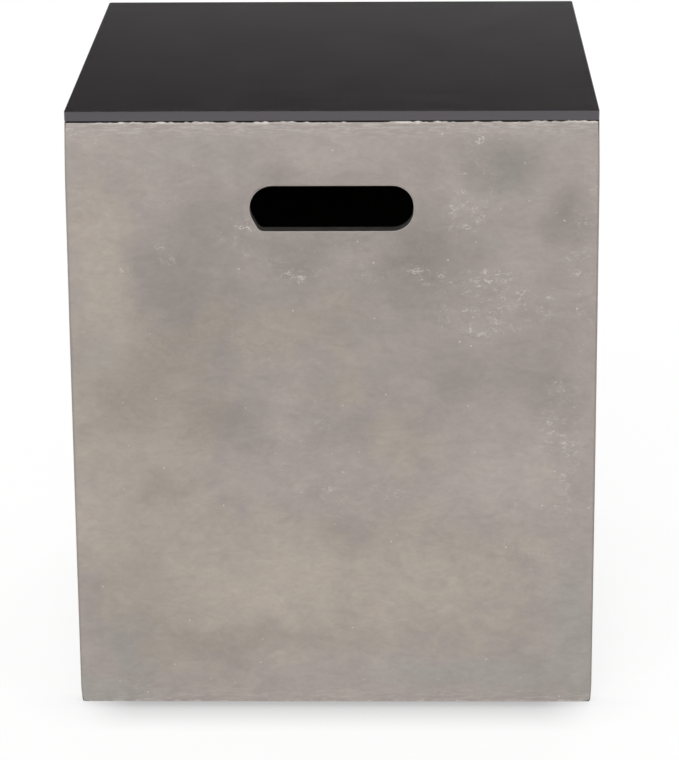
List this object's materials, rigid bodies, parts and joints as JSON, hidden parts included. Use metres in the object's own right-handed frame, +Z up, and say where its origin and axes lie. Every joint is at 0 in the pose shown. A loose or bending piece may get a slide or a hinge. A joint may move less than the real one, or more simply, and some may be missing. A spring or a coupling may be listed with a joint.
{
  "type": "propane tank cover table",
  "caption": "Square side table that hides a gas cylinder: a cast concrete-look shell, open below, with hand slots front and back, and a lift-off folded steel lid.",
  "frame": {"origin": "centre of the shell's footprint, on the floor", "axes": "+Z up, the front hand slot faces -Y, +X to the right as seen from the front"},
  "size_m": [0.4244, 0.4244, 0.5038],
  "materials": {
    "cast_concrete": "matte",
    "lid_coating": "satin",
    "zinc_steel": "satin",
    "moulded_nylon": "matte",
    "bumper_rubber": "matte"
  },
  "bodies": {
    "shell": {"body_shell": "cast_concrete"},
    "lid": {"lid_pan": "lid_coating", "lid_stiffener_front": "lid_coating", "lid_stiffener_back": "lid_coating", "locator_back_right": "moulded_nylon", "locator_back_left": "moulded_nylon", "locator_front_left": "moulded_nylon", "locator_front_right": "moulded_nylon", "lid_weld_studs": "zinc_steel", "locator_nuts": "zinc_steel", "rim_bumper_front_1": "bumper_rubber", "rim_bumper_right_1": "bumper_rubber", "rim_bumper_back_1": "bumper_rubber", "rim_bumper_left_1": "bumper_rubber", "rim_bumper_front_2": "bumper_rubber", "rim_bumper_right_2": "bumper_rubber", "rim_bumper_back_2": "bumper_rubber", "rim_bumper_left_2": "bumper_rubber"}
  },
  "joints": [
    {"name": "lid_lift", "type": "slide", "parent": "shell", "child": "lid", "axis": [0, 0, 1], "range_m": [0, 0.15]}
  ]
}
